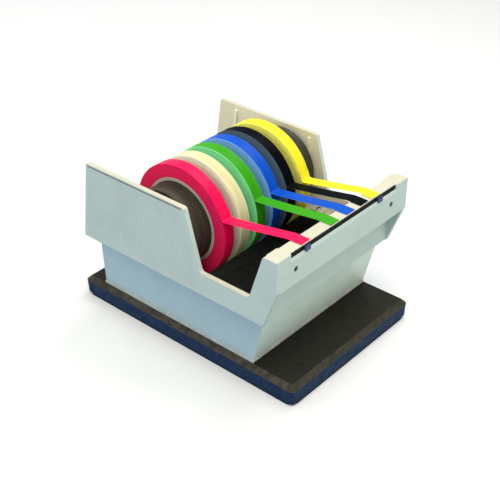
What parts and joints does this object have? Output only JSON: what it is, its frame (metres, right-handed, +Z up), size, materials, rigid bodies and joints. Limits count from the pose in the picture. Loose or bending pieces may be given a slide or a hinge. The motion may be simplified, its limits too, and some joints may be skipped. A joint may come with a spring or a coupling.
{
  "type": "tape dispenser",
  "caption": "Weighted bench dispenser for several tape rolls side by side, with a serrated cutting lip, open side panels and a lift-out axle.",
  "frame": {"origin": "on the standing surface, under the middle of the base", "axes": "+Z up, -Y towards the cutting lip at the front, +X to the right"},
  "size_m": [0.1858, 0.264, 0.1714],
  "materials": {
    "ivory_plastic": "moulded, satin",
    "base_coat": "textured dark paint",
    "pad_rubber": "matt",
    "liner_plastic": "matt black",
    "saddle_plastic": "matt",
    "hub_plastic": "matt dark grey",
    "screw_steel": "plated",
    "dark_screw": "black oxide",
    "axle_steel": "bright drawn",
    "blade_steel": "blackened",
    "clip_plastic": "navy",
    "cardboard": "grey board",
    "red_film": "vinyl tape",
    "cream_film": "vinyl tape",
    "green_film": "vinyl tape",
    "blue_film": "vinyl tape",
    "black_film": "vinyl tape",
    "yellow_film": "vinyl tape"
  },
  "bodies": {
    "housing": {"base_pad": "pad_rubber", "base_plate": "base_coat", "base_screws": "screw_steel", "tray": "ivory_plastic", "tray_liner": "liner_plastic", "left_side_panel": "ivory_plastic", "right_side_panel": "ivory_plastic", "panel_screws": "screw_steel", "left_axle_saddle": "saddle_plastic", "right_axle_saddle": "saddle_plastic", "saddle_screws": "screw_steel", "blade_bar": "ivory_plastic", "cutter_blade": "blade_steel", "blade_clips": "clip_plastic", "front_screws": "dark_screw"},
    "axle": {"axle_rod": "axle_steel", "axle_collars": "hub_plastic", "end_spacer": "hub_plastic", "red_strand": "red_film", "green_strand": "green_film", "blue_strand": "blue_film", "black_strand": "black_film", "yellow_strand": "yellow_film"},
    "red_roll": {"red_hub": "hub_plastic", "red_core": "cardboard", "red_tape": "red_film"},
    "cream_roll": {"cream_hub": "hub_plastic", "cream_core": "cardboard", "cream_tape": "cream_film"},
    "green_roll": {"green_hub": "hub_plastic", "green_core": "cardboard", "green_tape": "green_film"},
    "blue_roll": {"blue_hub": "hub_plastic", "blue_core": "cardboard", "blue_tape": "blue_film"},
    "black_roll": {"black_hub": "hub_plastic", "black_core": "cardboard", "black_tape": "black_film"},
    "yellow_roll": {"yellow_hub": "hub_plastic", "yellow_core": "cardboard", "yellow_tape": "yellow_film"},
    "spare_wheel": {"spare_hub": "hub_plastic"}
  },
  "joints": [
    {"name": "axle_lift", "type": "slide", "parent": "housing", "child": "axle", "axis": [0, 0, 1], "range_m": [0, 0.09]},
    {"name": "red_roll_spin", "type": "hinge", "parent": "axle", "child": "red_roll", "pos_m": [-0.057, 0.0203, 0.1175], "axis": [1, 0, 0], "continuous": true},
    {"name": "cream_roll_spin", "type": "hinge", "parent": "axle", "child": "cream_roll", "pos_m": [-0.03545, 0.0203, 0.1175], "axis": [1, 0, 0], "continuous": true},
    {"name": "green_roll_spin", "type": "hinge", "parent": "axle", "child": "green_roll", "pos_m": [-0.0139, 0.0203, 0.1175], "axis": [1, 0, 0], "continuous": true},
    {"name": "blue_roll_spin", "type": "hinge", "parent": "axle", "child": "blue_roll", "pos_m": [0.00765, 0.0203, 0.1175], "axis": [1, 0, 0], "continuous": true},
    {"name": "black_roll_spin", "type": "hinge", "parent": "axle", "child": "black_roll", "pos_m": [0.0292, 0.0203, 0.1175], "axis": [1, 0, 0], "continuous": true},
    {"name": "yellow_roll_spin", "type": "hinge", "parent": "axle", "child": "yellow_roll", "pos_m": [0.05075, 0.0203, 0.1175], "axis": [1, 0, 0], "continuous": true},
    {"name": "spare_wheel_spin", "type": "hinge", "parent": "axle", "child": "spare_wheel", "pos_m": [0.0723, 0.0203, 0.1175], "axis": [1, 0, 0], "continuous": true}
  ]
}
